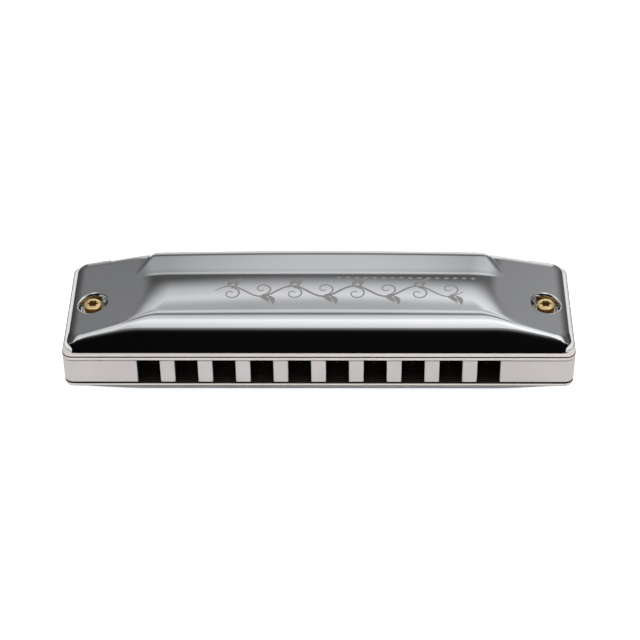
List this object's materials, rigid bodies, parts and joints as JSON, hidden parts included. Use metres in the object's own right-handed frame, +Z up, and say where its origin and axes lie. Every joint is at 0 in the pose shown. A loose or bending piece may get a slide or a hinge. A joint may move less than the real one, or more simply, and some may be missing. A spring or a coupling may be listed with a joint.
{
  "type": "diatonic harmonica",
  "caption": "Diatonic harmonica with an aluminium comb, riveted brass reeds and chrome covers held by gold-plated socket screws.",
  "frame": {"origin": "under the middle of the body in length and depth, level with the lowest line of the lower cover", "axes": "+X from hole 1 to hole 10, +Y from the mouthpiece to the open back, +Z up through the upper cover"},
  "size_m": [0.1018, 0.028, 0.0203],
  "materials": {
    "cover_chrome": "polished mirror chrome plate on pressed sheet",
    "plate_nickel": "warm nickel-silver plate, finely brushed",
    "comb_aluminium": "satin anodised, slightly pink-grey",
    "reed_brass": "ground along its length",
    "rivet_brass": "pressed",
    "cover_screw_gold": "bright gold plate",
    "plate_screw_steel": "plain steel"
  },
  "bodies": {
    "root": {"comb": "comb_aluminium", "upper_reed_plate": "plate_nickel", "lower_reed_plate": "plate_nickel", "upper_cover": "cover_chrome", "lower_cover": "cover_chrome", "blow_rivet_1": "rivet_brass", "blow_rivet_2": "rivet_brass", "blow_rivet_3": "rivet_brass", "blow_rivet_4": "rivet_brass", "blow_rivet_5": "rivet_brass", "blow_rivet_6": "rivet_brass", "blow_rivet_7": "rivet_brass", "blow_rivet_8": "rivet_brass", "blow_rivet_9": "rivet_brass", "blow_rivet_10": "rivet_brass", "draw_rivet_1": "rivet_brass", "draw_rivet_2": "rivet_brass", "draw_rivet_3": "rivet_brass", "draw_rivet_4": "rivet_brass", "draw_rivet_5": "rivet_brass", "draw_rivet_6": "rivet_brass", "draw_rivet_7": "rivet_brass", "draw_rivet_8": "rivet_brass", "draw_rivet_9": "rivet_brass", "draw_rivet_10": "rivet_brass", "reed_plate_screw_1": "plate_screw_steel", "reed_plate_screw_2": "plate_screw_steel", "reed_plate_screw_3": "plate_screw_steel", "reed_plate_screw_4": "plate_screw_steel", "reed_plate_screw_5": "plate_screw_steel", "reed_plate_screw_6": "plate_screw_steel", "reed_plate_screw_7": "plate_screw_steel", "reed_plate_screw_8": "plate_screw_steel", "cover_screw_left": "cover_screw_gold", "cover_screw_right": "cover_screw_gold", "cover_nut_left": "cover_screw_gold", "cover_nut_right": "cover_screw_gold"},
    "blow_reed_1": {"blow_reed_1": "reed_brass"},
    "blow_reed_2": {"blow_reed_2": "reed_brass"},
    "blow_reed_3": {"blow_reed_3": "reed_brass"},
    "blow_reed_4": {"blow_reed_4": "reed_brass"},
    "blow_reed_5": {"blow_reed_5": "reed_brass"},
    "blow_reed_6": {"blow_reed_6": "reed_brass"},
    "blow_reed_7": {"blow_reed_7": "reed_brass"},
    "blow_reed_8": {"blow_reed_8": "reed_brass"},
    "blow_reed_9": {"blow_reed_9": "reed_brass"},
    "blow_reed_10": {"blow_reed_10": "reed_brass"},
    "draw_reed_1": {"draw_reed_1": "reed_brass"},
    "draw_reed_2": {"draw_reed_2": "reed_brass"},
    "draw_reed_3": {"draw_reed_3": "reed_brass"},
    "draw_reed_4": {"draw_reed_4": "reed_brass"},
    "draw_reed_5": {"draw_reed_5": "reed_brass"},
    "draw_reed_6": {"draw_reed_6": "reed_brass"},
    "draw_reed_7": {"draw_reed_7": "reed_brass"},
    "draw_reed_8": {"draw_reed_8": "reed_brass"},
    "draw_reed_9": {"draw_reed_9": "reed_brass"},
    "draw_reed_10": {"draw_reed_10": "reed_brass"}
  },
  "joints": [
    {"name": "blow_reed_1_bend", "type": "hinge", "parent": "root", "child": "blow_reed_1", "pos_m": [-0.03375, -0.0059, 0.01273], "axis": [1, 0, 0], "range_deg": [-3, 3], "stiffness_Nm_per_rad": 0.014},
    {"name": "blow_reed_2_bend", "type": "hinge", "parent": "root", "child": "blow_reed_2", "pos_m": [-0.02625, -0.0059, 0.01273], "axis": [1, 0, 0], "range_deg": [-3, 3], "stiffness_Nm_per_rad": 0.019},
    {"name": "blow_reed_3_bend", "type": "hinge", "parent": "root", "child": "blow_reed_3", "pos_m": [-0.01875, -0.0059, 0.01273], "axis": [1, 0, 0], "range_deg": [-3, 3], "stiffness_Nm_per_rad": 0.023},
    {"name": "blow_reed_4_bend", "type": "hinge", "parent": "root", "child": "blow_reed_4", "pos_m": [-0.01125, -0.0059, 0.01273], "axis": [1, 0, 0], "range_deg": [-3, 3], "stiffness_Nm_per_rad": 0.036},
    {"name": "blow_reed_5_bend", "type": "hinge", "parent": "root", "child": "blow_reed_5", "pos_m": [-0.00375, -0.0059, 0.01273], "axis": [1, 0, 0], "range_deg": [-3, 3], "stiffness_Nm_per_rad": 0.049},
    {"name": "blow_reed_6_bend", "type": "hinge", "parent": "root", "child": "blow_reed_6", "pos_m": [0.00375, -0.0059, 0.01273], "axis": [1, 0, 0], "range_deg": [-3, 3], "stiffness_Nm_per_rad": 0.059},
    {"name": "blow_reed_7_bend", "type": "hinge", "parent": "root", "child": "blow_reed_7", "pos_m": [0.01125, -0.0059, 0.01273], "axis": [1, 0, 0], "range_deg": [-3, 3], "stiffness_Nm_per_rad": 0.09},
    {"name": "blow_reed_8_bend", "type": "hinge", "parent": "root", "child": "blow_reed_8", "pos_m": [0.01875, -0.0059, 0.01273], "axis": [1, 0, 0], "range_deg": [-3, 3], "stiffness_Nm_per_rad": 0.12},
    {"name": "blow_reed_9_bend", "type": "hinge", "parent": "root", "child": "blow_reed_9", "pos_m": [0.02625, -0.0059, 0.01273], "axis": [1, 0, 0], "range_deg": [-3, 3], "stiffness_Nm_per_rad": 0.15},
    {"name": "blow_reed_10_bend", "type": "hinge", "parent": "root", "child": "blow_reed_10", "pos_m": [0.03375, -0.0059, 0.01273], "axis": [1, 0, 0], "range_deg": [-3, 3], "stiffness_Nm_per_rad": 0.23},
    {"name": "draw_reed_1_bend", "type": "hinge", "parent": "root", "child": "draw_reed_1", "pos_m": [-0.03375, -0.0059, 0.00588], "axis": [1, 0, 0], "range_deg": [-3, 3], "stiffness_Nm_per_rad": 0.017},
    {"name": "draw_reed_2_bend", "type": "hinge", "parent": "root", "child": "draw_reed_2", "pos_m": [-0.02625, -0.0059, 0.00588], "axis": [1, 0, 0], "range_deg": [-3, 3], "stiffness_Nm_per_rad": 0.026},
    {"name": "draw_reed_3_bend", "type": "hinge", "parent": "root", "child": "draw_reed_3", "pos_m": [-0.01875, -0.0059, 0.00588], "axis": [1, 0, 0], "range_deg": [-3, 3], "stiffness_Nm_per_rad": 0.036},
    {"name": "draw_reed_4_bend", "type": "hinge", "parent": "root", "child": "draw_reed_4", "pos_m": [-0.01125, -0.0059, 0.00588], "axis": [1, 0, 0], "range_deg": [-3, 3], "stiffness_Nm_per_rad": 0.045},
    {"name": "draw_reed_5_bend", "type": "hinge", "parent": "root", "child": "draw_reed_5", "pos_m": [-0.00375, -0.0059, 0.00588], "axis": [1, 0, 0], "range_deg": [-3, 3], "stiffness_Nm_per_rad": 0.055},
    {"name": "draw_reed_6_bend", "type": "hinge", "parent": "root", "child": "draw_reed_6", "pos_m": [0.00375, -0.0059, 0.00588], "axis": [1, 0, 0], "range_deg": [-3, 3], "stiffness_Nm_per_rad": 0.077},
    {"name": "draw_reed_7_bend", "type": "hinge", "parent": "root", "child": "draw_reed_7", "pos_m": [0.01125, -0.0059, 0.00588], "axis": [1, 0, 0], "range_deg": [-3, 3], "stiffness_Nm_per_rad": 0.084},
    {"name": "draw_reed_8_bend", "type": "hinge", "parent": "root", "child": "draw_reed_8", "pos_m": [0.01875, -0.0059, 0.00588], "axis": [1, 0, 0], "range_deg": [-3, 3], "stiffness_Nm_per_rad": 0.1},
    {"name": "draw_reed_9_bend", "type": "hinge", "parent": "root", "child": "draw_reed_9", "pos_m": [0.02625, -0.0059, 0.00588], "axis": [1, 0, 0], "range_deg": [-3, 3], "stiffness_Nm_per_rad": 0.13},
    {"name": "draw_reed_10_bend", "type": "hinge", "parent": "root", "child": "draw_reed_10", "pos_m": [0.03375, -0.0059, 0.00588], "axis": [1, 0, 0], "range_deg": [-3, 3], "stiffness_Nm_per_rad": 0.18}
  ]
}
